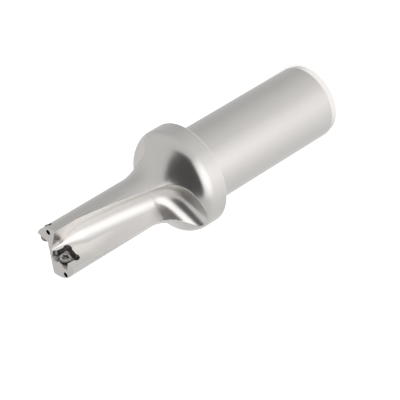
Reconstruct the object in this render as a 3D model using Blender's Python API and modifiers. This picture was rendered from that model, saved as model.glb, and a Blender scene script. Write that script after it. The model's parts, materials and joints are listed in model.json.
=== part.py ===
"""Indexable drill: flanged cylindrical shank, fluted body, two insert pockets and their screws."""
import math
from collections import namedtuple

import bmesh
import bpy
from mathutils import Matrix, Vector

# Driving dimensions in metres. Z runs from the shank end up to the drill tip.
# Shank
SHANK_RADIUS = 0.0125
SHANK_LENGTH = 0.056
LEAD_CHAMFER_LENGTH = 0.0025
LEAD_CHAMFER_DEPTH = 0.00055
GRINDING_RELIEF_WIDTH = 0.0016
GRINDING_RELIEF_DEPTH = 0.0002
CLAMP_FLAT_HEIGHT = 0.0105
CLAMP_FLAT_LENGTH = 0.044
CLAMP_FLAT_END_RADIUS = 0.006

# Flange, its rounded shoulder and the flare that runs down to the body
RIM_RADIUS = 0.0172
RIM_WIDTH = 0.0049
RIM_CHAMFER = 0.0003
SHOULDER_RADIUS = 0.0055
FLARE_RADIUS = 0.016
BODY_RADIUS = 0.0084
BODY_LENGTH = 0.0329

# Flutes: straight at the tip, then a slow right-hand helix, then a curved way out of the flare
FLUTE_STRAIGHT = 0.008
FLUTE_LEAD = 0.375
ROOT_DRIFT = 0.0011
TIP_ROOT_RADIUS = 0.0004
BODY_ROOT_RADIUS = 0.0045
ROOT_BLEND_LENGTH = 0.012
RUNOUT_RADIUS = 0.010
RUNOUT_SLOPE = math.radians(62.0)
RUNOUT_HEADING = math.radians(16.0)
RUNOUT_RIM_BITE = 0.0004
RUNOUT_FLOOR_LIFT = math.radians(8.0)
RUNOUT_FLOOR_FALL = math.radians(-65.0)
RUNOUT_WALL_ANGLE = math.radians(104.0)
INNER_ROOT_PLACE = -0.0016
INNER_WALL_ANGLE = math.radians(86.0)
OUTER_ROOT_PLACE = 0.0028
OUTER_WALL_ANGLE = math.radians(110.0)

# Insert pockets: size of the seat, place along the flute floor, depth and turn of each seat
POCKET_HALF_SIDE = 0.0030
POCKET_FLANK_ANGLE = math.radians(11.0)
POCKET_SETBACK = 0.0018
INNER_POCKET_PLACE = 0.00265
INNER_POCKET_DEPTH = 0.0023
INNER_POCKET_SWIVEL = math.radians(-8.0)
OUTER_POCKET_PLACE = 0.0060
OUTER_POCKET_DEPTH = 0.0019
OUTER_POCKET_SWIVEL = 0.0
RELIEF_HOLE_RADIUS = 0.0013
RELIEF_HOLE_OFFSET = 0.0021
RELIEF_HOLE_EXTRA_DEPTH = 0.0003
DRILL_POINT_ANGLE = math.radians(118.0)

# Insert screws and the tapped holes that they sit in
SCREW_HEAD_RADIUS = 0.00175
SCREW_RIM_HEIGHT = 0.0003
SCREW_CONE_ANGLE = math.radians(60.0)
SCREW_THREAD_RADIUS = 0.0009
SCREW_THREAD_LENGTH = 0.0032
SCREW_SINK = 0.00035
SCREW_END_CHAMFER = 0.0002
SCREW_EDGE_ROUND = 0.0001
SIX_LOBE_OUTER_RADIUS = 0.0012
SIX_LOBE_INNER_RADIUS = 0.00086
SIX_LOBE_DEPTH = 0.0010
SEAT_GAP = 0.0003

# Coolant supply
INLET_RADIUS = 0.0044
INLET_DEPTH = 0.014
INLET_CHAMFER = 0.0006
GALLERY_RADIUS = 0.0030
GALLERY_REACH = 0.0011
OUTLET_RADIUS = 0.00085
GALLERY_ENTRY_RADIUS = 0.0019
CHANNEL_TURN = math.radians(-12.0)
INNER_OUTLET = (-0.0037, 0.0058)
OUTER_OUTLET = (0.00525, -0.00515)

# Fineness of the round shapes
TURNED_SIDES = 96
ARC_STEPS = 8
HOLE_SIDES = 24
BORE_SIDES = 32
CHANNEL_SIDES = 16
ROOT_STEPS = 7
BLEND_STEPS = 7
HELIX_STEPS = 12
RUNOUT_STEPS = 9
LOBE_SIDES = 36
SCREW_SIDES = 40
EDGE_ANGLE = math.radians(28.0)
MERGE = 0.00001

RIM_BACK = SHANK_LENGTH
RIM_FRONT = RIM_BACK + RIM_WIDTH
FLARE_TURN = math.acos(1 - (RIM_RADIUS - BODY_RADIUS) / (SHOULDER_RADIUS + FLARE_RADIUS))
FLARE_END = RIM_FRONT + (SHOULDER_RADIUS + FLARE_RADIUS) * math.sin(FLARE_TURN)
TIP = FLARE_END + BODY_LENGTH
GALLERY_END = RIM_FRONT + GALLERY_REACH
CLEAR = 0.002
OUTSIDE = 4 * RIM_RADIUS

Flute = namedtuple("Flute", "name root_place wall_angle turned")
FLUTES = (
    Flute("inner flute", INNER_ROOT_PLACE, INNER_WALL_ANGLE, 0.0),
    Flute("outer flute", OUTER_ROOT_PLACE, OUTER_WALL_ANGLE, math.pi),
)

Pocket = namedtuple("Pocket", "name place depth swivel turned reliefs")
POCKETS = (
    Pocket(
        "inner",
        INNER_POCKET_PLACE,
        INNER_POCKET_DEPTH,
        INNER_POCKET_SWIVEL,
        0.0,
        ((-1, -1), (-1, 1), (1, -1), (1, 1)),
    ),
    Pocket(
        "outer",
        OUTER_POCKET_PLACE,
        OUTER_POCKET_DEPTH,
        OUTER_POCKET_SWIVEL,
        math.pi,
        ((-1, 1),),
    ),
)


def new_collection(name, parent=None):
    collection = bpy.data.collections.new(name)
    holder = parent or bpy.context.scene.collection
    holder.children.link(collection)
    return collection


def metal(name, colour, roughness):
    material = bpy.data.materials.new(name)
    material.use_nodes = True
    shader = material.node_tree.nodes["Principled BSDF"]
    shader.inputs["Base Color"].default_value = (*colour, 1.0)
    shader.inputs["Metallic"].default_value = 1.0
    shader.inputs["Roughness"].default_value = roughness
    return material


def add_object(name, mesh, collection):
    obj = bpy.data.objects.new(name, mesh)
    collection.objects.link(obj)
    return obj


def add_cutter(name, mesh, cutters, matrix=None):
    obj = add_object(name, mesh, cutters)
    obj.hide_render = True
    obj.display_type = "WIRE"
    if matrix is not None:
        obj.matrix_world = matrix
    return obj


def cut_all(obj, cutters):
    """Take every cutter in a collection away in one step."""
    boolean = obj.modifiers.new("Cuts", "BOOLEAN")
    boolean.operation = "DIFFERENCE"
    boolean.solver = "EXACT"
    boolean.operand_type = "COLLECTION"
    boolean.collection = cutters


def turned_mesh(name, profile):
    """An open profile of (radius, height) points, top to bottom, as a chain of edges."""
    mesh = bpy.data.meshes.new(name)
    points = [(radius, 0.0, height) for radius, height in profile]
    edges = [(i, i + 1) for i in range(len(points) - 1)]
    mesh.from_pydata(points, edges, [])
    return mesh


def turn(obj, sides):
    screw = obj.modifiers.new("Turn", "SCREW")
    screw.axis = "Z"
    screw.angle = 2 * math.pi
    screw.steps = sides
    screw.render_steps = sides
    screw.use_merge_vertices = True
    screw.merge_threshold = MERGE


def rod_mesh(name, radius, start, end, sides):
    """A closed cylinder from start to end."""
    bm = bmesh.new()
    run = end - start
    bmesh.ops.create_cone(
        bm,
        cap_ends=True,
        segments=sides,
        radius1=radius,
        radius2=radius,
        depth=run.length,
    )
    turn_to = Vector((0, 0, 1)).rotation_difference(run).to_matrix().to_4x4()
    bmesh.ops.transform(bm, matrix=Matrix.Translation((start + end) / 2) @ turn_to, verts=bm.verts)
    mesh = bpy.data.meshes.new(name)
    bm.to_mesh(mesh)
    bm.free()
    return mesh


def blank_profile():
    """Tip centre, front edge, body, flare, shoulder, rim, shank and back to the axis."""
    profile = [(0.0, TIP), (BODY_RADIUS, TIP)]
    for i in range(ARC_STEPS + 1):
        angle = FLARE_TURN * i / ARC_STEPS
        profile.append((
            BODY_RADIUS + FLARE_RADIUS * (1 - math.cos(angle)),
            FLARE_END - FLARE_RADIUS * math.sin(angle),
        ))
    for i in range(1, ARC_STEPS + 1):
        angle = FLARE_TURN * (1 - i / ARC_STEPS)
        profile.append((
            RIM_RADIUS - SHOULDER_RADIUS * (1 - math.cos(angle)),
            RIM_FRONT + SHOULDER_RADIUS * math.sin(angle),
        ))
    relief_radius = SHANK_RADIUS - GRINDING_RELIEF_DEPTH
    relief_end = RIM_BACK - GRINDING_RELIEF_WIDTH
    profile += [
        (RIM_RADIUS, RIM_BACK + RIM_CHAMFER),
        (RIM_RADIUS - RIM_CHAMFER, RIM_BACK),
        (relief_radius, RIM_BACK),
        (relief_radius, relief_end),
        (SHANK_RADIUS, relief_end - GRINDING_RELIEF_DEPTH),
        (SHANK_RADIUS, LEAD_CHAMFER_LENGTH),
        (SHANK_RADIUS - LEAD_CHAMFER_DEPTH, 0.0),
        (0.0, 0.0),
    ]
    return profile


def ease(share):
    """Smooth step from 0 to 1."""
    share = min(1.0, max(0.0, share))
    return share * share * (3 - 2 * share)


def direction(angle):
    return Vector((math.cos(angle), math.sin(angle)))


def root_corner(flute, drift_share):
    """Where floor and wall of a flute would meet, in the flute's own turned section."""
    drift = ROOT_DRIFT * drift_share
    return Vector((flute.root_place + drift, drift))


def exit_travel(flute):
    """How far the root moves outwards, along the run-out's heading, to leave the rim."""
    start = root_corner(flute, 1.0)
    along = start.dot(direction(RUNOUT_HEADING))
    return math.sqrt(along * along - start.length_squared + RIM_RADIUS ** 2) - along


def runout_drop(travel):
    """Height lost on the arc and the straight ramp after it while the root moves outwards."""
    arc_travel = RUNOUT_RADIUS * (1 - math.cos(RUNOUT_SLOPE))
    if travel <= arc_travel:
        return RUNOUT_RADIUS * math.sin(math.acos(1 - travel / RUNOUT_RADIUS))
    return RUNOUT_RADIUS * math.sin(RUNOUT_SLOPE) + (travel - arc_travel) / math.tan(RUNOUT_SLOPE)


def flute_stations(flute):
    """(height, outward travel, share of the drift) of each section, tip to run-out."""
    leave = exit_travel(flute)
    start = RIM_FRONT - RUNOUT_RIM_BITE + runout_drop(leave)
    helix_top = TIP - FLUTE_STRAIGHT
    stations = [(TIP + CLEAR, 0.0, 0.0)]
    for i in range(BLEND_STEPS):
        stations.append((TIP - FLUTE_STRAIGHT * i / BLEND_STEPS, 0.0, 0.0))
    for i in range(HELIX_STEPS + 1):
        share = i / HELIX_STEPS
        stations.append((helix_top + (start - helix_top) * share, 0.0, share ** 2))
    arc_travel = RUNOUT_RADIUS * (1 - math.cos(RUNOUT_SLOPE))
    for i in range(1, RUNOUT_STEPS + 1):
        angle = RUNOUT_SLOPE * i / RUNOUT_STEPS
        travel = RUNOUT_RADIUS * (1 - math.cos(angle))
        stations.append((start - RUNOUT_RADIUS * math.sin(angle), travel, 1.0))
    for i in range(1, RUNOUT_STEPS + 1):
        travel = arc_travel + (leave + CLEAR - arc_travel) * i / RUNOUT_STEPS
        stations.append((start - runout_drop(travel), travel, 1.0))
    return stations


def flute_section(flute, height, travel, drift_share):
    """Closed outline of the flute's space at one height, wider than the blank.

    Towards the rim the floor falls away and the wall leans out, so the flute opens up.
    """
    blend = ease((TIP - height) / ROOT_BLEND_LENGTH)
    radius = TIP_ROOT_RADIUS + (BODY_ROOT_RADIUS - TIP_ROOT_RADIUS) * blend
    out = min(1.0, travel / exit_travel(flute))
    lift = RUNOUT_FLOOR_LIFT * math.sin(math.pi * min(1.0, 3 * out))
    floor = lift + RUNOUT_FLOOR_FALL * max(0.0, (4 * out - 1) / 3)
    wall = flute.wall_angle + (RUNOUT_WALL_ANGLE - flute.wall_angle) * max(0.0, 2 * out - 1)
    opening = wall - floor
    corner = root_corner(flute, drift_share) + direction(RUNOUT_HEADING) * travel
    tangent = radius / math.tan(opening / 2)
    centre = corner + tangent * direction(floor) + radius * direction(floor + math.pi / 2)
    outline = [corner + OUTSIDE * direction(floor)]
    for i in range(ROOT_STEPS + 1):
        angle = floor - math.pi / 2 - (math.pi - opening) * i / ROOT_STEPS
        outline.append(centre + radius * direction(angle))
    outline.append(corner + OUTSIDE * direction(wall))
    outline.append(corner + 1.5 * OUTSIDE * direction((floor + wall) / 2))
    return outline


def flute_mesh(flute):
    """A loft through the sections, which change in shape and turn with the helix."""
    bm = bmesh.new()
    rings = []
    for height, travel, drift_share in flute_stations(flute):
        behind = max(0.0, TIP - height - FLUTE_STRAIGHT)
        turned = Matrix.Rotation(flute.turned - 2 * math.pi * behind / FLUTE_LEAD, 2)
        ring = []
        for point in flute_section(flute, height, travel, drift_share):
            place = turned @ point
            ring.append(bm.verts.new((place.x, place.y, height)))
        rings.append(ring)
    for upper, lower in zip(rings, rings[1:]):
        for i in range(len(upper)):
            j = (i + 1) % len(upper)
            bm.faces.new((upper[i], lower[i], lower[j], upper[j]))
    bm.faces.new(rings[0])
    bm.faces.new(rings[-1])
    bmesh.ops.recalc_face_normals(bm, faces=bm.faces)
    bmesh.ops.triangulate(bm, faces=bm.faces)
    mesh = bpy.data.meshes.new(flute.name)
    bm.to_mesh(mesh)
    bm.free()
    return mesh


def seat_mesh(name, depth):
    """A square seat with flanks that lean out, open upwards and through the front face."""
    top = depth + CLEAR / 2
    grow = math.tan(POCKET_FLANK_ANGLE)
    floor_half = POCKET_HALF_SIDE - depth * grow
    top_half = floor_half + top * grow
    bm = bmesh.new()
    bmesh.ops.create_cube(bm, size=1.0)
    for vert in bm.verts:
        half = top_half if vert.co.z > 0 else floor_half
        vert.co = Vector((
            math.copysign(half, vert.co.x),
            half if vert.co.y > 0 else -POCKET_SETBACK - CLEAR,
            top if vert.co.z > 0 else 0.0,
        ))
    mesh = bpy.data.meshes.new(name)
    bm.to_mesh(mesh)
    bm.free()
    return mesh


def relief_mesh(name, depth):
    """A drilled corner relief: a round hole with the drill point's cone at its end."""
    straight = depth + RELIEF_HOLE_EXTRA_DEPTH
    point = RELIEF_HOLE_RADIUS / math.tan(DRILL_POINT_ANGLE / 2)
    profile = [
        (0.0, CLEAR / 2),
        (RELIEF_HOLE_RADIUS, CLEAR / 2),
        (RELIEF_HOLE_RADIUS, -straight),
        (0.0, -straight - point),
    ]
    return turned_mesh(name, profile)


def screw_hole_mesh(name):
    """The screw's hole with its countersunk mouth, from above the seat's floor down and out."""
    radius = SCREW_THREAD_RADIUS + SEAT_GAP
    mouth = radius + (SCREW_SINK + CLEAR / 2) * math.tan(SCREW_CONE_ANGLE / 2)
    profile = [
        (0.0, CLEAR / 2),
        (mouth, CLEAR / 2),
        (radius, -SCREW_SINK),
        (radius, -2 * BODY_RADIUS),
        (0.0, -2 * BODY_RADIUS),
    ]
    return turned_mesh(name, profile)


def pocket_frame(pocket):
    """Frame on the flute floor: y runs away from the tip and z out of the pocket."""
    spot = Matrix.Translation((pocket.place, 0.0, TIP - POCKET_SETBACK))
    tip_over = Matrix.Rotation(-math.pi / 2, 4, "X")
    swivel = Matrix.Rotation(pocket.swivel, 4, "Z")
    return Matrix.Rotation(pocket.turned, 4, "Z") @ spot @ tip_over @ swivel


def add_pocket_cutters(pocket, cutters):
    frame = pocket_frame(pocket)
    floor = frame @ Matrix.Translation((0, 0, -pocket.depth))
    seat = pocket.name + " seat"
    add_cutter(seat, seat_mesh(seat, pocket.depth), cutters, floor)
    hole = pocket.name + " screw hole"
    turn(add_cutter(hole, screw_hole_mesh(hole), cutters, floor), HOLE_SIDES)
    relief = pocket.name + " corner relief"
    mesh = relief_mesh(relief, pocket.depth)
    for x, y in pocket.reliefs:
        corner = Matrix.Translation((x * RELIEF_HOLE_OFFSET, y * RELIEF_HOLE_OFFSET, 0))
        turn(add_cutter(relief, mesh, cutters, frame @ corner), HOLE_SIDES)


def add_coolant_cutters(cutters):
    point = math.tan(DRILL_POINT_ANGLE / 2)
    profile = [
        (0.0, GALLERY_END + GALLERY_RADIUS / point),
        (GALLERY_RADIUS, GALLERY_END),
        (GALLERY_RADIUS, INLET_DEPTH + (INLET_RADIUS - GALLERY_RADIUS) / point),
        (INLET_RADIUS, INLET_DEPTH),
        (INLET_RADIUS, INLET_CHAMFER),
        (INLET_RADIUS + INLET_CHAMFER + CLEAR, -CLEAR),
        (0.0, -CLEAR),
    ]
    bore = add_cutter("coolant bore", turned_mesh("coolant bore", profile), cutters)
    turn(bore, BORE_SIDES)
    for name, outlet in (("inner channel", INNER_OUTLET), ("outer channel", OUTER_OUTLET)):
        mouth = Vector((outlet[0], outlet[1], TIP))
        heading = direction(math.atan2(outlet[1], outlet[0]) + CHANNEL_TURN)
        entry = (GALLERY_ENTRY_RADIUS * heading).to_3d()
        entry.z = GALLERY_END - CLEAR
        past = mouth + (mouth - entry).normalized() * CLEAR
        add_cutter(name, rod_mesh(name, OUTLET_RADIUS, entry, past, CHANNEL_SIDES), cutters)


def clamp_flat_mesh(name):
    """The milled flat's cutter, with the end mill's round corner at its upper end."""
    bm = bmesh.new()
    bmesh.ops.create_cube(bm, size=1.0)
    for vert in bm.verts:
        vert.co = Vector((
            math.copysign(2 * SHANK_RADIUS, vert.co.x),
            -CLAMP_FLAT_HEIGHT if vert.co.y > 0 else -2 * SHANK_RADIUS,
            CLAMP_FLAT_LENGTH if vert.co.z > 0 else -CLEAR,
        ))
    edges = [
        edge for edge in bm.edges
        if all(abs(v.co.z - CLAMP_FLAT_LENGTH) < MERGE for v in edge.verts)
        and all(abs(v.co.y + CLAMP_FLAT_HEIGHT) < MERGE for v in edge.verts)
    ]
    bmesh.ops.bevel(
        bm,
        geom=edges,
        offset=CLAMP_FLAT_END_RADIUS,
        offset_type="OFFSET",
        segments=ARC_STEPS,
        profile=0.5,
        affect="EDGES",
    )
    mesh = bpy.data.meshes.new(name)
    bm.to_mesh(mesh)
    bm.free()
    return mesh


def six_lobe_mesh(name):
    """Outline of a six-lobe recess, lifted through the head's top face."""
    mean = (SIX_LOBE_OUTER_RADIUS + SIX_LOBE_INNER_RADIUS) / 2
    swing = (SIX_LOBE_OUTER_RADIUS - SIX_LOBE_INNER_RADIUS) / 2
    bm = bmesh.new()
    ring = []
    for i in range(LOBE_SIDES):
        angle = 2 * math.pi * i / LOBE_SIDES
        radius = mean + swing * math.cos(6 * angle)
        ring.append(bm.verts.new((radius * math.cos(angle), radius * math.sin(angle), -SIX_LOBE_DEPTH)))
    floor = bm.faces.new(ring)
    lifted = bmesh.ops.extrude_face_region(bm, geom=[floor])
    top = [item for item in lifted["geom"] if isinstance(item, bmesh.types.BMVert)]
    bmesh.ops.translate(bm, vec=(0, 0, SIX_LOBE_DEPTH + CLEAR / 2), verts=top)
    bmesh.ops.recalc_face_normals(bm, faces=bm.faces)
    mesh = bpy.data.meshes.new(name)
    bm.to_mesh(mesh)
    bm.free()
    return mesh


def insert_screw(pocket, material, parts, cutters):
    """A countersunk insert screw; its cone rests in the mouth of the tapped hole."""
    name = pocket.name + "_insert_screw"
    cone = (SCREW_HEAD_RADIUS - SCREW_THREAD_RADIUS) / math.tan(SCREW_CONE_ANGLE / 2)
    head = cone + SCREW_RIM_HEIGHT
    end = head + SCREW_THREAD_LENGTH
    profile = [
        (0.0, 0.0),
        (SCREW_HEAD_RADIUS - SCREW_EDGE_ROUND, 0.0),
        (SCREW_HEAD_RADIUS, -SCREW_EDGE_ROUND),
        (SCREW_HEAD_RADIUS, -SCREW_RIM_HEIGHT),
        (SCREW_THREAD_RADIUS, -head),
        (SCREW_THREAD_RADIUS, -end + SCREW_END_CHAMFER),
        (SCREW_THREAD_RADIUS - SCREW_END_CHAMFER, -end),
        (0.0, -end),
    ]
    above_flute_floor = head - SCREW_SINK - pocket.depth
    seat = pocket_frame(pocket) @ Matrix.Translation((0, 0, above_flute_floor))
    screw = add_object(name, turned_mesh(name, profile), parts)
    screw.matrix_world = seat
    screw.data.materials.append(material)
    turn(screw, SCREW_SIDES)
    recess = new_collection(name + " recess", cutters)
    add_cutter(name + " recess", six_lobe_mesh(name + " recess"), recess, seat)
    cut_all(screw, recess)
    return screw


def drill_body(parts, material):
    """The turned blank; a half step of turn keeps its edges off the flute floors."""
    body = add_object("drill_body", turned_mesh("drill_body", blank_profile()), parts)
    body.data.materials.append(material)
    body.rotation_euler.z = math.pi / TURNED_SIDES
    turn(body, TURNED_SIDES)
    return body


def settle(obj):
    """Keep what the modifiers make as the object's mesh, smooth except at its edges."""
    depsgraph = bpy.context.evaluated_depsgraph_get()
    mesh = bpy.data.meshes.new_from_object(obj.evaluated_get(depsgraph))
    obj.modifiers.clear()
    obj.data = mesh
    mesh.shade_smooth()
    mesh.set_sharp_from_angle(angle=EDGE_ANGLE)


def build():
    for obj in list(bpy.data.objects):
        bpy.data.objects.remove(obj, do_unlink=True)
    parts = new_collection("Indexable drill")
    cutters = new_collection("Cutters")
    body_cutters = new_collection("Body cutters", cutters)
    steel = metal("nickel plated steel", (0.62, 0.60, 0.58), 0.28)
    screw_steel = metal("blackened screw steel", (0.20, 0.19, 0.19), 0.38)
    pieces = [drill_body(parts, steel)]
    for flute in FLUTES:
        add_cutter(flute.name, flute_mesh(flute), body_cutters)
    add_cutter("clamp flat", clamp_flat_mesh("clamp flat"), body_cutters)
    add_coolant_cutters(body_cutters)
    for pocket in POCKETS:
        add_pocket_cutters(pocket, body_cutters)
        pieces.append(insert_screw(pocket, screw_steel, parts, cutters))
    cut_all(pieces[0], body_cutters)
    for piece in pieces:
        settle(piece)


build()
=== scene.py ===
# %% [markdown]
# # An indexable drill
#
# The real tool is one bar of tool steel and two small screws. The bar is turned, two
# flutes are milled down its front, two seats for square inserts are cut at the tip,
# and the whole is nickel plated. This lesson makes it the same way: turn a blank,
# mill it with cutters, then finish each surface as its machining left it.
#
# The first step loads the measured frame of the part. Its boxes are the sizes that
# everything below has to keep.

# %% Load the frame
import json
import math

import bmesh
import bpy
from mathutils import Matrix, Vector

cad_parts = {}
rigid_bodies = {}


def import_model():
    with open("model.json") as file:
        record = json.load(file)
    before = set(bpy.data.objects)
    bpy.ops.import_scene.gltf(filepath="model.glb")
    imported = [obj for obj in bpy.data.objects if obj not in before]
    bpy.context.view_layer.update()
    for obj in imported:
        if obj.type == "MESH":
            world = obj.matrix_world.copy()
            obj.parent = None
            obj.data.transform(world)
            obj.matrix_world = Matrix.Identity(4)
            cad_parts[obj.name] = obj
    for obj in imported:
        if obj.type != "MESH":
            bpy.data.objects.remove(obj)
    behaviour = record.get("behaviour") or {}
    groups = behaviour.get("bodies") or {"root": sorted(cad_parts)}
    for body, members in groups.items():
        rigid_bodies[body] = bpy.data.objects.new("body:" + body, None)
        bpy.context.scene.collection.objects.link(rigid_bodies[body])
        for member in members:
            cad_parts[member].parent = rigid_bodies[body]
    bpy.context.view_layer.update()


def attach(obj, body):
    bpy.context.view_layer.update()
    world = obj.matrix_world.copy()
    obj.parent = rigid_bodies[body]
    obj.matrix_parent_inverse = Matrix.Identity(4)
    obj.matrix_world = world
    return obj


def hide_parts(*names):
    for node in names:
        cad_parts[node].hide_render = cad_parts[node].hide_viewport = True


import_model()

# %% [markdown]
# ## Sizes
#
# A drill is drawn by its sizes: the shank fits a tool holder, the flange stops it, and
# the body is a little thinner than the hole that the inserts cut. All lengths are in
# metres, and heights run from the shank end up to the tip.

# %% Sizes of the turned bar
SHANK_RADIUS = 0.0125
SHANK_LENGTH = 0.056
LEAD_CHAMFER_LENGTH = 0.0025
LEAD_CHAMFER_DEPTH = 0.00055
GRINDING_RELIEF_WIDTH = 0.0016
GRINDING_RELIEF_DEPTH = 0.0002
CLAMP_FLAT_HEIGHT = 0.0105
CLAMP_FLAT_LENGTH = 0.044
CLAMP_FLAT_END_RADIUS = 0.006
RIM_RADIUS = 0.0172
RIM_WIDTH = 0.0049
RIM_CHAMFER = 0.0003
SHOULDER_RADIUS = 0.0055
FLARE_RADIUS = 0.016
BODY_RADIUS = 0.0084
BODY_LENGTH = 0.0329
RIM_BACK = SHANK_LENGTH
RIM_FRONT = RIM_BACK + RIM_WIDTH
FLARE_TURN = math.acos(1 - (RIM_RADIUS - BODY_RADIUS) / (SHOULDER_RADIUS + FLARE_RADIUS))
FLARE_END = RIM_FRONT + (SHOULDER_RADIUS + FLARE_RADIUS) * math.sin(FLARE_TURN)
TIP = FLARE_END + BODY_LENGTH

# %% Sizes of the milled flutes
FLUTE_STRAIGHT = 0.008
FLUTE_LEAD = 0.375
ROOT_DRIFT = 0.0011
TIP_ROOT_RADIUS = 0.0004
BODY_ROOT_RADIUS = 0.0045
ROOT_BLEND_LENGTH = 0.012
RUNOUT_BEND_RADIUS = 0.010
RUNOUT_BEND = math.radians(74.0)
RUNOUT_HEADING = math.radians(4.0)
RUNOUT_RIM_BITE = 0.0001
RUNOUT_ROOT_RADIUS = 0.0055
FLUTES = {
    "inner": dict(
        root=-0.0016, rise=0.0011, turned=0.0,
        wall=math.radians(86), bend_wall=math.radians(77), bend_floor=math.radians(-4),
    ),
    "outer": dict(
        root=0.0028, rise=0.0, turned=math.pi,
        wall=math.radians(110), bend_wall=math.radians(80), bend_floor=math.radians(-29),
    ),
}

# %% Sizes of the pockets, their screws and the coolant holes
POCKET_HALF_SIDE = 0.0030
POCKET_FLANK_ANGLE = math.radians(11.0)
POCKET_SETBACK = 0.0018
RELIEF_HOLE_RADIUS = 0.0013
RELIEF_HOLE_OFFSET = 0.0021
RELIEF_HOLE_EXTRA_DEPTH = 0.0003
DRILL_POINT = math.tan(math.radians(118.0) / 2)
SCREW_HEAD_RADIUS = 0.00175
SCREW_RIM_HEIGHT = 0.0003
SCREW_CONE_ANGLE = math.radians(60.0)
SCREW_THREAD_RADIUS = 0.0009
SCREW_THREAD_LENGTH = 0.0032
SCREW_THREAD_PITCH = 0.0004
SCREW_SINK = 0.00035
SCREW_END_CHAMFER = 0.0002
SIX_LOBE_OUTER_RADIUS = 0.0012
SIX_LOBE_INNER_RADIUS = 0.00086
SIX_LOBE_DEPTH = 0.0010
SEAT_GAP = 0.0003
INLET_RADIUS = 0.0044
INLET_DEPTH = 0.014
INLET_CHAMFER = 0.0006
GALLERY_RADIUS = 0.0030
GALLERY_END = RIM_FRONT + 0.0011
OUTLET_RADIUS = 0.00085
GALLERY_ENTRY_RADIUS = 0.0019
CHANNEL_TURN = math.radians(-12.0)
OUTLETS = {"inner": (-0.0037, 0.0058), "outer": (0.00525, -0.00515)}
POCKETS = {
    "inner": dict(
        place=0.00265, depth=0.0023, swivel=math.radians(-8), turned=0.0,
        reliefs=((-1, -1), (-1, 1), (1, -1), (1, 1)),
    ),
    "outer": dict(place=0.0060, depth=0.0019, swivel=0.0, turned=math.pi, reliefs=((-1, 1),)),
}
CLEAR = 0.002
TOLERANCE = 0.00001

# %% [markdown]
# ## Turning
#
# A lathe makes shapes that are the same all round. In Blender a turned shape is a
# profile and a spin. The profile starts as a plane merged into one point, which is
# then extruded from corner to corner, so every size above is a corner of the drawing.

# %% Spin a profile into a solid


def only(obj):
    """Select this object alone."""
    bpy.ops.object.select_all(action="DESELECT")
    obj.select_set(True)
    bpy.context.view_layer.objects.active = obj


def turned(name, profile, steps):
    """A closed solid from (radius, height) corners, from the axis round to the axis."""
    bpy.ops.object.select_all(action="DESELECT")
    bpy.ops.mesh.primitive_plane_add()
    obj = bpy.context.object
    obj.name = name
    bpy.ops.object.mode_set(mode="EDIT")
    bpy.ops.mesh.select_all(action="SELECT")
    bpy.ops.mesh.merge(type="CENTER")
    bpy.ops.transform.translate(value=(profile[0][0], 0, profile[0][1]))
    for (r0, z0), (r1, z1) in zip(profile, profile[1:]):
        bpy.ops.mesh.extrude_region_move(
            TRANSFORM_OT_translate={"value": (r1 - r0, 0, z1 - z0)}
        )
    bpy.ops.mesh.select_all(action="SELECT")
    bpy.ops.mesh.spin(steps=steps, angle=2 * math.pi, center=(0, 0, 0), axis=(0, 0, 1))
    bpy.ops.mesh.select_all(action="SELECT")
    bpy.ops.mesh.remove_doubles(threshold=0.000001)
    bpy.ops.mesh.normals_make_consistent(inside=False)
    bpy.ops.object.mode_set(mode="OBJECT")
    return obj


def arc(centre, radius, start, end, steps):
    """Corners along an arc in the profile's plane, angles measured from the radius."""
    corners = []
    for i in range(steps + 1):
        angle = start + (end - start) * i / steps
        corners.append((
            centre[0] + radius * math.cos(angle),
            centre[1] + radius * math.sin(angle),
        ))
    return corners


# %% [markdown]
# ## The blank
#
# From the tip down: the front face, the cylinder that the flutes cut away, a wide flare
# that carries the thrust into the flange, a rounded shoulder, the flange's rim and the
# ground shank. A grinding wheel can't reach into the corner behind the flange, so a
# shallow relief is turned there first.

# %% Turn the blank
BLANK_STEPS = 256
ARC_STEPS = 28
CHAMFER_STEPS = 10

flare_centre = (BODY_RADIUS + FLARE_RADIUS, FLARE_END)
shoulder_centre = (RIM_RADIUS - SHOULDER_RADIUS, RIM_FRONT)
relief_radius = SHANK_RADIUS - GRINDING_RELIEF_DEPTH
relief_end = RIM_BACK - GRINDING_RELIEF_WIDTH
blank_profile = [(0.0, TIP), (BODY_RADIUS, TIP)]
blank_profile += arc(flare_centre, FLARE_RADIUS, math.pi, math.pi + FLARE_TURN, ARC_STEPS)
blank_profile += arc(shoulder_centre, SHOULDER_RADIUS, FLARE_TURN, 0.0, ARC_STEPS)[1:]
blank_profile += arc(
    (RIM_RADIUS - RIM_CHAMFER, RIM_BACK + RIM_CHAMFER),
    RIM_CHAMFER, 0.0, -math.pi / 2, CHAMFER_STEPS,
)
blank_profile += [
    (relief_radius, RIM_BACK),
    (relief_radius, relief_end),
    (SHANK_RADIUS, relief_end - GRINDING_RELIEF_DEPTH),
    (SHANK_RADIUS, LEAD_CHAMFER_LENGTH),
    (SHANK_RADIUS - LEAD_CHAMFER_DEPTH, 0.0),
    (0.0, 0.0),
]
body = turned("drill_body_finished", blank_profile, BLANK_STEPS)
print("blank:", len(body.data.polygons), "faces")

# %% [markdown]
# ## Flutes
#
# A flute is the space that a form cutter sweeps: floor, round root and wall. It runs
# straight at the tip and then follows a slow right-hand helix. At the flare the cutter
# bends outwards and leaves the bar almost sideways, so the same section is carried
# round a bend, and its root and wall curve out through the flare. The section changes a
# little on the way, which no sweep along a curve can do, so each cutter here is one
# face, extruded from station to station and set to the section of that station.

# %% The section of a flute


def direction(angle):
    return Vector((math.cos(angle), math.sin(angle)))


def ease(share):
    """Smooth step from 0 to 1."""
    share = min(1.0, max(0.0, share))
    return share * share * (3 - 2 * share)


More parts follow.
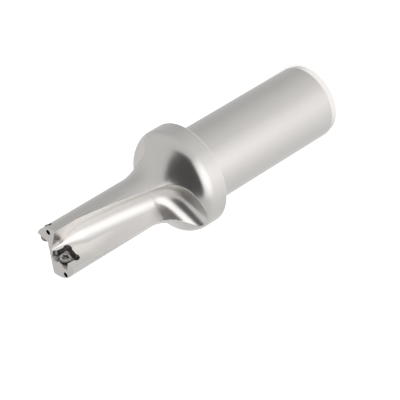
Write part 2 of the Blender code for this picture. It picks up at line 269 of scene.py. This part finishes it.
OUTSIDE = 4 * RIM_RADIUS
ROOT_STEPS = 28
FLOOR_SHARES = (1.0, 0.98, 0.93, 0.85)
WALL_REACHES = (0.0005, 0.002, 0.004, 0.007, 0.012, 0.020, OUTSIDE)


def flute_section(radius, floor, wall, reach):
    """Floor, root and wall round the root's corner: x leaves the bar, y crosses it."""
    opening = wall - floor
    tangent = radius / math.tan(opening / 2)
    centre = tangent * direction(floor) + radius * direction(floor + math.pi / 2)
    section = [reach * share * direction(floor) for share in FLOOR_SHARES]
    for i in range(ROOT_STEPS + 1):
        angle = floor - math.pi / 2 - (math.pi - opening) * i / ROOT_STEPS
        section.append(centre + radius * direction(angle))
    section += [(tangent + extra) * direction(wall) for extra in WALL_REACHES]
    section.append(Vector((max(section[-1].x, 0.0) + reach, section[-1].y)))
    return section


# %% The stations from the tip to the run-out
TIP_STATIONS = 8
HELIX_STATIONS = 60
BEND_STATIONS = 60
RAMP_STATIONS = 24
HELIX_REACH = 0.0125
BEND_REACH = 0.0098


def root_path(flute):
    """Rows of height, travel outwards, angle of the bend and share of the root's drift."""
    heading = direction(RUNOUT_HEADING)
    corner = Vector((flute["root"] + ROOT_DRIFT, flute["rise"]))
    along = corner.dot(heading)
    leave = math.sqrt(along * along - corner.length_squared + RIM_RADIUS ** 2) - along
    bend_travel = RUNOUT_BEND_RADIUS * (1 - math.cos(RUNOUT_BEND))
    ramp = leave - bend_travel
    bend_end = RIM_FRONT - RUNOUT_RIM_BITE + ramp / math.tan(RUNOUT_BEND)
    bend_start = bend_end + RUNOUT_BEND_RADIUS * math.sin(RUNOUT_BEND)
    helix_top = TIP - FLUTE_STRAIGHT
    rows = [(TIP + CLEAR, 0.0, 0.0, 0.0)]
    for i in range(TIP_STATIONS):
        rows.append((TIP - FLUTE_STRAIGHT * i / TIP_STATIONS, 0.0, 0.0, 0.0))
    for i in range(HELIX_STATIONS + 1):
        share = i / HELIX_STATIONS
        rows.append((helix_top + (bend_start - helix_top) * share, 0.0, 0.0, share ** 2))
    for i in range(1, BEND_STATIONS + 1):
        bend = RUNOUT_BEND * i / BEND_STATIONS
        travel = RUNOUT_BEND_RADIUS * (1 - math.cos(bend))
        rows.append((bend_start - RUNOUT_BEND_RADIUS * math.sin(bend), travel, bend, 1.0))
    for i in range(1, RAMP_STATIONS + 1):
        further = (ramp + CLEAR) * i / RAMP_STATIONS
        rows.append((
            bend_end - further / math.tan(RUNOUT_BEND), bend_travel + further, RUNOUT_BEND, 1.0,
        ))
    return rows


def flute_stations(flute):
    """Each station's section as points in space."""
    heading = direction(RUNOUT_HEADING).to_3d()
    across = direction(RUNOUT_HEADING + math.pi / 2).to_3d()
    stations = []
    for height, travel, bend, drift_share in root_path(flute):
        bent = ease(bend / RUNOUT_BEND)
        deep = ease((TIP - height) / ROOT_BLEND_LENGTH)
        radius = TIP_ROOT_RADIUS + (BODY_ROOT_RADIUS - TIP_ROOT_RADIUS) * deep
        radius += (RUNOUT_ROOT_RADIUS - BODY_ROOT_RADIUS) * bent
        wall = flute["wall"] - RUNOUT_HEADING
        wall += (flute["bend_wall"] - wall) * bent
        floor = (flute["bend_floor"] + RUNOUT_HEADING) * bent - RUNOUT_HEADING
        reach = HELIX_REACH + (BEND_REACH - HELIX_REACH) * ease(drift_share)
        corner = heading * travel + Vector((
            flute["root"] + ROOT_DRIFT * drift_share, flute["rise"] * drift_share, height,
        ))
        outwards = heading * math.cos(bend) + Vector((0, 0, math.sin(bend)))
        station = []
        for out, side in flute_section(radius, floor, wall, reach):
            point = corner + outwards * out + across * side
            behind = max(0.0, TIP - point.z - FLUTE_STRAIGHT)
            turn = flute["turned"] - 2 * math.pi * behind / FLUTE_LEAD
            station.append(Matrix.Rotation(turn, 3, "Z") @ point)
        stations.append(station)
    return stations


# %% Extrude a face from station to station


def swept(name, stations):
    """A closed solid through outlines that change from one station to the next."""
    bpy.ops.object.select_all(action="DESELECT")
    bpy.ops.mesh.primitive_circle_add(vertices=len(stations[0]), fill_type="NGON")
    obj = bpy.context.object
    obj.name = name
    bpy.ops.object.mode_set(mode="EDIT")
    bpy.ops.mesh.select_all(action="SELECT")
    for number, station in enumerate(stations):
        if number:
            bpy.ops.mesh.extrude_region_move()
        mesh = bmesh.from_edit_mesh(obj.data)
        end = next(face for face in mesh.faces if face.select)
        for vert, point in zip(end.verts, station):
            vert.co = point
    bmesh.update_edit_mesh(obj.data)
    bpy.ops.mesh.select_all(action="SELECT")
    bpy.ops.mesh.normals_make_consistent(inside=False)
    bpy.ops.mesh.quads_convert_to_tris(quad_method="SHORTEST_DIAGONAL")
    bpy.ops.object.mode_set(mode="OBJECT")
    return obj


flute_cutters = [
    swept(name + "_flute_cutter", flute_stations(flute)) for name, flute in FLUTES.items()
]
print("flute cutters:", [len(cutter.data.polygons) for cutter in flute_cutters], "faces")

# %% [markdown]
# ## Seats for the inserts
#
# A square insert drops into a seat whose flanks lean out as its own sides do. Each
# corner is relieved by a drilled hole, so that the insert's sharp corner never touches,
# and a tapped hole with a countersunk mouth takes the screw. The seats are cut from
# cubes, with their top side scaled outwards, and from turned cutters.

# %% A place for each seat


def seat_place(pocket):
    """Frame on the flute's floor: x outwards, y away from the tip, z out of the seat."""
    spot = Matrix.Translation((pocket["place"], 0.0, TIP - POCKET_SETBACK))
    tip_over = Matrix.Rotation(-math.pi / 2, 4, "X")
    swivel = Matrix.Rotation(pocket["swivel"], 4, "Z")
    return Matrix.Rotation(pocket["turned"], 4, "Z") @ spot @ tip_over @ swivel


def seat_cutter(name, pocket):
    """A cube pulled into the seat, open to the front and upwards."""
    top = pocket["depth"] + CLEAR / 2
    grow = math.tan(POCKET_FLANK_ANGLE)
    floor_half = POCKET_HALF_SIDE - pocket["depth"] * grow
    bpy.ops.object.select_all(action="DESELECT")
    bpy.ops.mesh.primitive_cube_add(size=1)
    obj = bpy.context.object
    obj.name = name
    for vert in obj.data.vertices:
        half = floor_half + top * grow if vert.co.z > 0 else floor_half
        back = half if vert.co.y > 0 else -POCKET_SETBACK - CLEAR
        vert.co = (math.copysign(half, vert.co.x), back, top if vert.co.z > 0 else 0.0)
    obj.matrix_world = seat_place(pocket) @ Matrix.Translation((0, 0, -pocket["depth"]))
    return obj


# %% Cut the seats, their reliefs and the screw holes
HOLE_STEPS = 64
hole_radius = SCREW_THREAD_RADIUS + SEAT_GAP
hole_mouth = hole_radius + (SCREW_SINK + CLEAR / 2) * math.tan(SCREW_CONE_ANGLE / 2)
pocket_cutters = []
for name, pocket in POCKETS.items():
    place = seat_place(pocket)
    seat_floor = place @ Matrix.Translation((0, 0, -pocket["depth"]))
    pocket_cutters.append(seat_cutter(name + "_seat_cutter", pocket))
    tap = turned(name + "_tap_cutter", [
        (0.0, CLEAR / 2),
        (hole_mouth, CLEAR / 2),
        (hole_radius, -SCREW_SINK),
        (hole_radius, -2 * BODY_RADIUS),
        (0.0, -2 * BODY_RADIUS),
    ], HOLE_STEPS)
    tap.matrix_world = seat_floor
    pocket_cutters.append(tap)
    bottom = pocket["depth"] + RELIEF_HOLE_EXTRA_DEPTH
    for x, y in pocket["reliefs"]:
        relief = turned(name + "_relief_cutter", [
            (0.0, CLEAR / 2),
            (RELIEF_HOLE_RADIUS, CLEAR / 2),
            (RELIEF_HOLE_RADIUS, -bottom),
            (0.0, -bottom - RELIEF_HOLE_RADIUS / DRILL_POINT),
        ], HOLE_STEPS)
        corner = Vector((x * RELIEF_HOLE_OFFSET, y * RELIEF_HOLE_OFFSET, 0))
        relief.matrix_world = place @ Matrix.Translation(corner)
        pocket_cutters.append(relief)
print("pocket cutters:", len(pocket_cutters))

# %% [markdown]
# ## Coolant holes and the clamping flat
#
# Coolant enters through a stepped bore in the shank and leaves through two long drilled
# holes, one beside each seat. Each hole is a cylinder laid from the bore's end to its
# mouth on the front face. The flat on the shank's far side takes the holder's set
# screws; the end mill that cut it left its round corner at the upper end.

# %% Drill the coolant holes
CHANNEL_STEPS = 48
bore = turned("coolant_bore_cutter", [
    (0.0, GALLERY_END + GALLERY_RADIUS / DRILL_POINT),
    (GALLERY_RADIUS, GALLERY_END),
    (GALLERY_RADIUS, INLET_DEPTH + (INLET_RADIUS - GALLERY_RADIUS) / DRILL_POINT),
    (INLET_RADIUS, INLET_DEPTH),
    (INLET_RADIUS, INLET_CHAMFER),
    (INLET_RADIUS + INLET_CHAMFER + CLEAR, -CLEAR),
    (0.0, -CLEAR),
], HOLE_STEPS)
pocket_cutters.append(bore)
for name, (x, y) in OUTLETS.items():
    mouth = Vector((x, y, TIP))
    entry = (GALLERY_ENTRY_RADIUS * direction(math.atan2(y, x) + CHANNEL_TURN)).to_3d()
    entry.z = GALLERY_END - CLEAR
    past = mouth + (mouth - entry).normalized() * CLEAR
    bpy.ops.object.select_all(action="DESELECT")
    bpy.ops.mesh.primitive_cylinder_add(
        vertices=CHANNEL_STEPS, radius=OUTLET_RADIUS, depth=(past - entry).length
    )
    channel = bpy.context.object
    channel.name = name + "_channel_cutter"
    lean = Vector((0, 0, 1)).rotation_difference(past - entry).to_matrix().to_4x4()
    channel.matrix_world = Matrix.Translation((entry + past) / 2) @ lean
    pocket_cutters.append(channel)

# %% Mill the clamping flat
FLAT_END_STEPS = 24
bpy.ops.object.select_all(action="DESELECT")
bpy.ops.mesh.primitive_cube_add(size=1)
flat_cutter = bpy.context.object
flat_cutter.name = "clamping_flat_cutter"
for vert in flat_cutter.data.vertices:
    vert.co = (
        math.copysign(2 * SHANK_RADIUS, vert.co.x),
        -CLAMP_FLAT_HEIGHT if vert.co.y > 0 else -2 * SHANK_RADIUS,
        CLAMP_FLAT_LENGTH if vert.co.z > 0 else -CLEAR,
    )
bpy.ops.object.mode_set(mode="EDIT")
bpy.ops.mesh.select_all(action="DESELECT")
mesh = bmesh.from_edit_mesh(flat_cutter.data)
for edge in mesh.edges:
    upper = all(abs(vert.co.z - CLAMP_FLAT_LENGTH) < TOLERANCE for vert in edge.verts)
    inner = all(abs(vert.co.y + CLAMP_FLAT_HEIGHT) < TOLERANCE for vert in edge.verts)
    edge.select_set(upper and inner)
bmesh.update_edit_mesh(flat_cutter.data)
bpy.ops.mesh.bevel(offset=CLAMP_FLAT_END_RADIUS, segments=FLAT_END_STEPS, affect="EDGES")
bpy.ops.object.mode_set(mode="OBJECT")

# %% [markdown]
# ## Cutting
#
# One Boolean modifier takes all the cutters away at once. Each mesh carries the same
# list of materials, and a cut face keeps the number that its cutter gave it, so the
# ground shank, the turned flare, the milled flutes and the pockets come out of the cut
# already told apart.

# %% Colours and nodes


def linear(hex_colour):
    """An sRGB hex colour as the linear values that a shader takes."""
    values = []
    for i in (1, 3, 5):
        value = int(hex_colour[i:i + 2], 16) / 255
        values.append(value / 12.92 if value <= 0.04045 else ((value + 0.055) / 1.055) ** 2.4)
    return (*values, 1.0)


def add_node(tree, kind, inputs=None, **settings):
    """Add a node with its settings; an input is a value or the output that feeds it."""
    node = tree.nodes.new(kind)
    for name, value in settings.items():
        setattr(node, name, value)
    for name, value in (inputs or {}).items():
        if isinstance(value, bpy.types.NodeSocket):
            tree.links.new(value, node.inputs[name])
        else:
            node.inputs[name].default_value = value
    return node


def new_material(name):
    material = bpy.data.materials.new(name)
    material.use_nodes = True
    material.node_tree.nodes.clear()
    return material, material.node_tree


# %% [markdown]
# ## Finishes
#
# Nickel plate is a warm grey metal, a little brighter than bare steel. The rings and roughness
# show how each surface was cut: the shank is ground, with very fine rings; the flare is
# turned, with slightly coarser ones; the flutes and the pockets are milled. The flutes are
# given a paler copy of the nickel as a painted highlight, and the pockets a darker copy as
# painted shade.

# %% Nickel plated steel, one finish for each kind of machining, with painted light on flutes and pockets
NICKEL = "#d9d6d3"
# paler copy of the nickel for the flutes: a painted highlight
FLUTE_HIGHLIGHT_NICKEL = "#e4e1de"
# darker copy of the nickel for the pockets: painted shade in the recesses
POCKET_SHADE_NICKEL = "#a9a6a4"
CLOUDS_PER_METRE = 140.0


def plated(name, colour, roughness, ring_pitch, ring_depth, blotch):
    """Nickel over turned or milled steel: fine rings, and a roughness that wanders."""
    material, tree = new_material(name)
    place = add_node(tree, "ShaderNodeTexCoord").outputs["Object"]
    height = add_node(tree, "ShaderNodeSeparateXYZ", {"Vector": place}).outputs["Z"]
    ring = add_node(
        tree, "ShaderNodeMath", {0: height, 1: 1 / ring_pitch}, operation="MULTIPLY"
    )
    rings = add_node(
        tree, "ShaderNodeTexNoise", {"W": ring.outputs[0], "Scale": 1.0, "Detail": 2.0},
        noise_dimensions="1D",
    )
    bump = add_node(
        tree, "ShaderNodeBump",
        {"Height": rings.outputs["Fac"], "Distance": ring_depth, "Strength": 1.0},
    )
    cloud = add_node(
        tree, "ShaderNodeTexNoise", {"Vector": place, "Scale": CLOUDS_PER_METRE, "Detail": 3.0}
    )
    rough = add_node(tree, "ShaderNodeMapRange", {
        "Value": cloud.outputs["Fac"], "From Min": 0.3, "From Max": 0.7,
        "To Min": roughness - blotch, "To Max": roughness + blotch,
    })
    shader = add_node(tree, "ShaderNodeBsdfPrincipled", {
        "Base Color": linear(colour), "Metallic": 1.0,
        "Roughness": rough.outputs["Result"], "Normal": bump.outputs["Normal"],
    })
    add_node(tree, "ShaderNodeOutputMaterial", {"Surface": shader.outputs["BSDF"]})
    return material


GROUND, TURNED, FLUTED, POCKET = range(4)
# the ground shank is satin with the finest rings, and the turned flare mirrors a little more;
# the flute gets a paler nickel as a painted highlight, and the pocket a darker one as painted
# shade, so that it reads as a deep seat
finishes = [
    plated("nickel plated steel, ground", NICKEL, 0.28, 0.00012, 0.0000010, 0.02),
    plated("nickel plated steel, turned", NICKEL, 0.25, 0.00016, 0.0000012, 0.02),
    plated("nickel plated steel, milled flute", FLUTE_HIGHLIGHT_NICKEL, 0.30, 0.00050, 0.0000010, 0.02),
    plated("nickel plated steel, milled pocket", POCKET_SHADE_NICKEL, 0.30, 0.00030, 0.0000020, 0.03),
]
print("finishes:", [finish.name for finish in finishes])

# %% Give every face its finish and cut


def give_finishes(obj, number_of):
    for finish in finishes:
        obj.data.materials.append(finish)
    for face in obj.data.polygons:
        face.material_index = number_of(face)


give_finishes(body, lambda face: GROUND if face.center.z < RIM_BACK - TOLERANCE else TURNED)
cutters = bpy.data.collections.new("Cutters")
bpy.context.scene.collection.children.link(cutters)
for group, number in ((flute_cutters, FLUTED), (pocket_cutters, POCKET), ([flat_cutter], GROUND)):
    for cutter in group:
        give_finishes(cutter, lambda face: number)
        bpy.context.scene.collection.objects.unlink(cutter)
        cutters.objects.link(cutter)


def cut(obj, collection):
    """Take a collection of cutters away from an object, then throw the cutters out."""
    only(obj)
    boolean = obj.modifiers.new("Cut", "BOOLEAN")
    boolean.operation = "DIFFERENCE"
    boolean.solver = "EXACT"
    boolean.operand_type = "COLLECTION"
    boolean.collection = collection
    bpy.ops.object.modifier_apply(modifier=boolean.name)
    for cutter in list(collection.objects):
        bpy.data.meshes.remove(cutter.data)
    bpy.data.collections.remove(collection)


cut(body, cutters)

# %% [markdown]
# ## Edges
#
# A fresh milled edge is sharp enough to cut a hand, so the long edges of the flutes are
# broken by a tenth of a millimetre, and the break catches a thin line of light. Before
# that, the slivers go that the cut left where two edges nearly meet.

# %% Break the edges of the flutes
EDGE_BREAK = 0.0001
NARROW = 0.000003
SHARP_EDGE = math.radians(20)
only(body)
bpy.ops.object.mode_set(mode="EDIT")
bpy.ops.mesh.select_mode(type="EDGE")
bpy.ops.mesh.select_all(action="SELECT")
bpy.ops.mesh.remove_doubles(threshold=NARROW)
bpy.ops.mesh.dissolve_degenerate(threshold=NARROW)
bpy.ops.mesh.select_all(action="DESELECT")
mesh = bmesh.from_edit_mesh(body.data)
for edge in mesh.edges:
    sides = {face.material_index for face in edge.link_faces}
    at_tip = all(vert.co.z > TIP - TOLERANCE for vert in edge.verts)
    sharp = edge.calc_face_angle(0.0) > SHARP_EDGE
    edge.select_set(sides == {TURNED, FLUTED} and sharp and not at_tip)
bmesh.update_edit_mesh(body.data)
bpy.ops.mesh.bevel(offset=EDGE_BREAK, segments=2, affect="EDGES", clamp_overlap=False)
bpy.ops.mesh.select_mode(type="VERT")
bpy.ops.object.mode_set(mode="OBJECT")

# %% Smooth the body
BODY_SMOOTH_ANGLE = math.radians(10)
only(body)
bpy.ops.object.shade_smooth_by_angle(angle=BODY_SMOOTH_ANGLE)
weighted = body.modifiers.new("Weighted normals", "WEIGHTED_NORMAL")
weighted.keep_sharp = True
bpy.ops.object.modifier_apply(modifier=weighted.name)
measured = bmesh.new()
measured.from_mesh(body.data)
print("body:", len(body.data.polygons), "faces,",
      sum(len(edge.link_faces) != 2 for edge in measured.edges), "open edges,",
      round(measured.calc_volume() * 1e6, 2), "cubic cm")
measured.free()

# %% [markdown]
# ## Insert screws
#
# Each screw is turned with a flat head, a sixty degree cone and a threaded shank, and
# its six-lobe socket is punched. The thread is real: the turned shank has many rings,
# and each point of a ring moves inwards with the helix that passes it. The recess is
# an outline that swings in and out six times, cut out of the head.

# %% Turn and thread a screw
THREAD_DEPTH = 0.00018
THREAD_RINGS = 112
SCREW_STEPS = 96
SCREW_EDGE_RADIUS = 0.0001
SCREW_EDGE_STEPS = 6
cone_length = (SCREW_HEAD_RADIUS - SCREW_THREAD_RADIUS) / math.tan(SCREW_CONE_ANGLE / 2)
head_length = cone_length + SCREW_RIM_HEIGHT
screw_length = head_length + SCREW_THREAD_LENGTH


def threaded(obj, low, high, pitch, depth):
    """Move the rings between two heights inwards along a helix, fading at the ends."""
    for vert in obj.data.vertices:
        radius = math.hypot(vert.co.x, vert.co.y)
        if low < vert.co.z < high and radius > depth:
            angle = math.atan2(vert.co.y, vert.co.x)
            phase = (vert.co.z / pitch - angle / (2 * math.pi)) % 1.0
            fade = min(1.0, (vert.co.z - low) / pitch, (high - vert.co.z) / pitch)
            shift = depth * fade * (1 - abs(2 * phase - 1))
            vert.co.x *= (radius - shift) / radius
            vert.co.y *= (radius - shift) / radius


def screw(name, pocket):
    profile = [(0.0, 0.0)]
    profile += arc(
        (SCREW_HEAD_RADIUS - SCREW_EDGE_RADIUS, -SCREW_EDGE_RADIUS),
        SCREW_EDGE_RADIUS, math.pi / 2, 0.0, SCREW_EDGE_STEPS,
    )
    profile.append((SCREW_HEAD_RADIUS, -SCREW_RIM_HEIGHT))
    run = SCREW_THREAD_LENGTH - SCREW_END_CHAMFER
    for i in range(THREAD_RINGS + 1):
        profile.append((SCREW_THREAD_RADIUS, -head_length - run * i / THREAD_RINGS))
    profile.append((SCREW_THREAD_RADIUS - SCREW_END_CHAMFER, -screw_length))
    profile.append((0.0, -screw_length))
    obj = turned(name, profile, SCREW_STEPS)
    threaded(
        obj, -head_length - run, -head_length - SCREW_THREAD_PITCH / 2,
        SCREW_THREAD_PITCH, THREAD_DEPTH,
    )
    cut(obj, punch(name))
    above_floor = head_length - SCREW_SINK - pocket["depth"]
    obj.data.transform(seat_place(pocket) @ Matrix.Translation((0, 0, above_floor)))
    return obj


# %% Punch the six-lobe socket
LOBES = 6
LOBE_STEPS = 144
SOCKET_MOUTH = 0.00008
SOCKET_END_DEPTH = 0.00012
SOCKET_END_TAPER = 0.00030


def six_lobe_outline(grow, height):
    mean = (SIX_LOBE_OUTER_RADIUS + SIX_LOBE_INNER_RADIUS) / 2 + grow
    swing = (SIX_LOBE_OUTER_RADIUS - SIX_LOBE_INNER_RADIUS) / 2
    outline = []
    for i in range(LOBE_STEPS):
        angle = 2 * math.pi * i / LOBE_STEPS
        point = (mean + swing * math.cos(LOBES * angle)) * direction(angle)
        outline.append(point.to_3d() + Vector((0, 0, height)))
    return outline


def punch(name):
    """The punch: a tapered end, a straight run and a small flare at the mouth."""
    stations = [
        six_lobe_outline(-SOCKET_END_TAPER, -SIX_LOBE_DEPTH - SOCKET_END_DEPTH),
        six_lobe_outline(0.0, -SIX_LOBE_DEPTH),
        six_lobe_outline(0.0, -SOCKET_MOUTH),
        six_lobe_outline(SOCKET_MOUTH, 0.0),
        six_lobe_outline(SOCKET_MOUTH * 2, SOCKET_MOUTH),
    ]
    obj = swept(name + "_punch", stations)
    collection = bpy.data.collections.new(name + " punch")
    bpy.context.scene.collection.children.link(collection)
    bpy.context.scene.collection.objects.unlink(obj)
    collection.objects.link(obj)
    return collection


# %% Dark oxide on the screws
OXIDE = "#a3a19f"
OXIDE_CLOUDS_PER_METRE = 900.0
# oxide is a grey veil: the head looks darker than the nickel and a little cloudy
screw_steel, tree = new_material("screw steel, rolled and oxide blackened")
place = add_node(tree, "ShaderNodeTexCoord").outputs["Object"]
cloud = add_node(
    tree, "ShaderNodeTexNoise", {"Vector": place, "Scale": OXIDE_CLOUDS_PER_METRE, "Detail": 3.0}
)
rough = add_node(tree, "ShaderNodeMapRange", {
    "Value": cloud.outputs["Fac"], "From Min": 0.3, "From Max": 0.7, "To Min": 0.22, "To Max": 0.34,
})
shader = add_node(tree, "ShaderNodeBsdfPrincipled", {
    "Base Color": linear(OXIDE), "Metallic": 1.0, "Roughness": rough.outputs["Result"],
})
add_node(tree, "ShaderNodeOutputMaterial", {"Surface": shader.outputs["BSDF"]})

# %% Place both screws
SCREW_SMOOTH_ANGLE = math.radians(35)
screws = []
for name, pocket in POCKETS.items():
    piece = screw(name + "_insert_screw_finished", pocket)
    piece.data.materials.append(screw_steel)
    only(piece)
    bpy.ops.object.shade_smooth_by_angle(angle=SCREW_SMOOTH_ANGLE)
    screws.append(piece)
    print(piece.name, len(piece.data.polygons), "faces")

# %% [markdown]
# ## Riding on the frame
#
# The finished pieces take the place of the plain solids. The drill has no moving part,
# so all of them ride on the one body.

# %% Replace the plain solids
for piece, node, record_slot in (
    (body, "drill_body", "body_steel"),
    (screws[0], "inner_insert_screw", "screw_steel"),
    (screws[1], "outer_insert_screw", "screw_steel"),
):
    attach(piece, "root")
    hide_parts(node)

# %% [markdown]
# ## Studio
#
# Plated steel has little colour of its own: it shows what stands round it. Shiny tools
# are therefore photographed in a tent of white paper, lit from outside. Here the tent is
# a ball of paper that glows, brighter towards the soft light and greyer on the other
# side, with a dark cloth above and round the lens. Only reflections show it. The camera
# sees a white table, and the lamp's soft shadow on it.

# %% Camera
SENSOR_MM, LENS_MM = 36.0, 167.2
CAMERA_PLACE = (0.2644, 0.4057, 0.3777)
CAMERA_TURN = (-0.6722, 0.7883, 0.1694)
camera_data = bpy.data.cameras.new("Camera")
camera_data.sensor_width = SENSOR_MM
camera_data.lens = LENS_MM
camera = bpy.data.objects.new("Camera", camera_data)
bpy.context.scene.collection.objects.link(camera)
camera.location = CAMERA_PLACE
camera.rotation_euler = CAMERA_TURN
bpy.context.scene.camera = camera
print("camera stands", round(1000 * camera.location.length), "mm from the shank end")

# %% White table
TABLE_SIZE = 6.0
TABLE_GAP = 0.00002
TABLE_WHITE = 0.42
# laminate is matt and pale, and its glow lifts it to the photograph's white
bpy.ops.mesh.primitive_plane_add(size=TABLE_SIZE, location=(0, 0, -TABLE_GAP))
table = bpy.context.object
table.name = "table"
table.visible_glossy = False
white_table, tree = new_material("white laminate table")
rays = add_node(tree, "ShaderNodeLightPath")
seen = add_node(tree, "ShaderNodeMath", {
    0: rays.outputs["Is Camera Ray"], 1: rays.outputs["Is Glossy Ray"],
}, operation="ADD")
seen = add_node(tree, "ShaderNodeMath", {
    0: seen.outputs[0], 1: rays.outputs["Is Transmission Ray"],
}, operation="ADD", use_clamp=True)
glow = add_node(
    tree, "ShaderNodeMath", {0: seen.outputs[0], 1: TABLE_WHITE}, operation="MULTIPLY"
)
laminate = add_node(tree, "ShaderNodeBsdfPrincipled", {
    "Base Color": linear("#e6e6e6"), "Roughness": 0.6,
    "Emission Color": (1.0, 1.0, 1.0, 1.0), "Emission Strength": glow.outputs[0],
})
add_node(tree, "ShaderNodeOutputMaterial", {"Surface": laminate.outputs["BSDF"]})
table.data.materials.append(white_table)

# %% Paper that only reflections show
TENT_RADIUS = 0.8
TENT_CENTRE = Vector((0.0, 0.0, 0.06))


def toward(azimuth, elevation, distance):
    """A place round the drill in degrees, and the turn that makes a card face the drill."""
    flat, up = math.radians(azimuth), math.radians(elevation)
    away = Vector((math.cos(flat) * math.cos(up), math.sin(flat) * math.cos(up), math.sin(up)))
    return TENT_CENTRE + away * distance, away.to_track_quat("Z", "Y").to_euler()


def for_reflections_only(obj):
    obj.visible_camera = False
    obj.visible_diffuse = False
    obj.visible_shadow = False
    obj.visible_transmission = False


def glowing(name, strength):
    """Paper or cloth as bright as it looks, with no part in lighting the table."""
    material, tree = new_material(name)
    material.cycles.emission_sampling = "NONE"
    glow = add_node(tree, "ShaderNodeEmission", {"Color": linear("#ffffff"), "Strength": strength})
    add_node(tree, "ShaderNodeOutputMaterial", {"Surface": glow.outputs["Emission"]})
    return material, glow


# %% Light tent
bpy.ops.mesh.primitive_uv_sphere_add(
    segments=64, ring_count=32, radius=TENT_RADIUS, location=TENT_CENTRE
)
tent = bpy.context.object
tent.name = "light_tent"
# paper gives the metal its wide soft greys, with no edge to see in them
paper, paper_glow = glowing("white tent paper, lit from outside", 1.0)
tree = paper.node_tree
place = add_node(tree, "ShaderNodeTexCoord").outputs["Object"]
round_tent = add_node(
    tree, "ShaderNodeTexGradient", {"Vector": place}, gradient_type="RADIAL"
)
# azimuth in degrees, and how bright the lower half of the tent is there
LOWER_PAPER = (
    (-180, 0.58), (-150, 0.66), (-100, 0.79), (-70, 0.74), (-40, 0.80), (0, 0.95),
    (25, 1.10), (50, 1.02), (75, 0.82), (105, 0.72), (130, 0.62), (155, 0.54), (180, 0.58),
)
lower = add_node(tree, "ShaderNodeValToRGB", {"Fac": round_tent.outputs["Fac"]})
stops = lower.color_ramp.elements
while len(stops) < len(LOWER_PAPER):
    stops.new(0.5)
for stop, (azimuth, value) in zip(stops, LOWER_PAPER):
    stop.position = azimuth / 360 + 0.5
    stop.color = (value, value, value, 1.0)
UPPER_PAPER = 0.70
UPPER_FROM, UPPER_TO = -0.35, 0.10
height = add_node(tree, "ShaderNodeSeparateXYZ", {"Vector": place}).outputs["Z"]
upper = add_node(tree, "ShaderNodeMapRange", {
    "Value": height, "From Min": UPPER_FROM, "From Max": UPPER_TO,
}, interpolation_type="SMOOTHSTEP")
tent_light = add_node(tree, "ShaderNodeMix", {
    "Factor": upper.outputs["Result"], "A": lower.outputs["Color"], "B": UPPER_PAPER,
}, data_type="FLOAT")
BOTTOM_PAPER = 1.35
BOTTOM_FROM, BOTTOM_TO = -0.68, -0.56
bottom = add_node(tree, "ShaderNodeMapRange", {
    "Value": height, "From Min": BOTTOM_FROM, "From Max": BOTTOM_TO,
    "To Min": 1.0, "To Max": 0.0,
}, interpolation_type="SMOOTHSTEP")
tent_light = add_node(tree, "ShaderNodeMix", {
    "Factor": bottom.outputs["Result"], "A": tent_light.outputs["Result"], "B": BOTTOM_PAPER,
}, data_type="FLOAT")
tree.links.new(tent_light.outputs["Result"], paper_glow.inputs["Strength"])
tent.data.materials.append(paper)

# %% Soft light, and the dark cloth round the lens
PANEL_WIDTH, PANEL_HEIGHT = 0.76, 0.65
PANEL_EDGE, PANEL_MIDDLE = 1.0, 1.50
PANEL_FADE = 0.65
CLOTH_RADIUS, CLOTH_DARK = 0.53, 0.08
spot, turn_to = toward(30, -6, 0.45)
bpy.ops.mesh.primitive_plane_add(size=2.0, location=spot, rotation=turn_to)
panel = bpy.context.object
panel.name = "soft_light_panel"
panel.scale = (PANEL_WIDTH / 2, PANEL_HEIGHT / 2, 1.0)
# the softbox is the brightest thing that the metal shows: a white band with soft ends
softbox, softbox_glow = glowing("softbox front cloth", 1.0)
tree = softbox.node_tree
place = add_node(tree, "ShaderNodeTexCoord").outputs["Object"]
middle = add_node(
    tree, "ShaderNodeTexGradient", {"Vector": place}, gradient_type="SPHERICAL"
)
hot = add_node(tree, "ShaderNodeMapRange", {
    "Value": middle.outputs["Fac"], "From Min": 0.0, "From Max": PANEL_FADE,
    "To Min": PANEL_EDGE, "To Max": PANEL_MIDDLE,
}, interpolation_type="SMOOTHSTEP")
tree.links.new(hot.outputs["Result"], softbox_glow.inputs["Strength"])
panel.data.materials.append(softbox)

spot, turn_to = toward(50, 58, 0.58)
bpy.ops.mesh.primitive_circle_add(
    vertices=64, radius=CLOTH_RADIUS, fill_type="NGON", location=spot, rotation=turn_to
)
cloth = bpy.context.object
cloth.name = "dark_cloth"
# black cloth gives the flare and the run-out their dark patches
cloth.data.materials.append(glowing("black molleton cloth", CLOTH_DARK)[0])
for piece in (tent, panel, cloth):
    for_reflections_only(piece)

# %% Lamp over the table
LAMP_SIZE, LAMP_WATTS = 0.9, 4.0
spot, turn_to = toward(35, 52, 0.9)
bpy.ops.object.light_add(type="AREA", location=spot, rotation=turn_to)
lamp = bpy.context.object
lamp.name = "soft lamp"
lamp.data.size = LAMP_SIZE
lamp.data.energy = LAMP_WATTS
lamp.visible_glossy = False
lamp.visible_camera = False

# %% Grey room, white to the camera and in reflections
ROOM_LIGHT = 0.75
room = bpy.data.worlds.new("grey room")
bpy.context.scene.world = room
room.use_nodes = True
tree = room.node_tree
tree.nodes.clear()
rays = add_node(tree, "ShaderNodeLightPath")
seen = add_node(tree, "ShaderNodeMath", {
    0: rays.outputs["Is Camera Ray"], 1: rays.outputs["Is Glossy Ray"],
}, operation="ADD")
seen = add_node(tree, "ShaderNodeMath", {
    0: seen.outputs[0], 1: rays.outputs["Is Transmission Ray"],
}, operation="ADD", use_clamp=True)
shade = add_node(tree, "ShaderNodeMapRange", {
    "Value": seen.outputs[0], "To Min": ROOM_LIGHT, "To Max": 1.0,
})
air = add_node(tree, "ShaderNodeBackground", {
    "Color": (1.0, 1.0, 1.0, 1.0), "Strength": shade.outputs["Result"],
})
add_node(tree, "ShaderNodeOutputWorld", {"Surface": air.outputs["Background"]})
bpy.context.scene.view_settings.view_transform = "Standard"
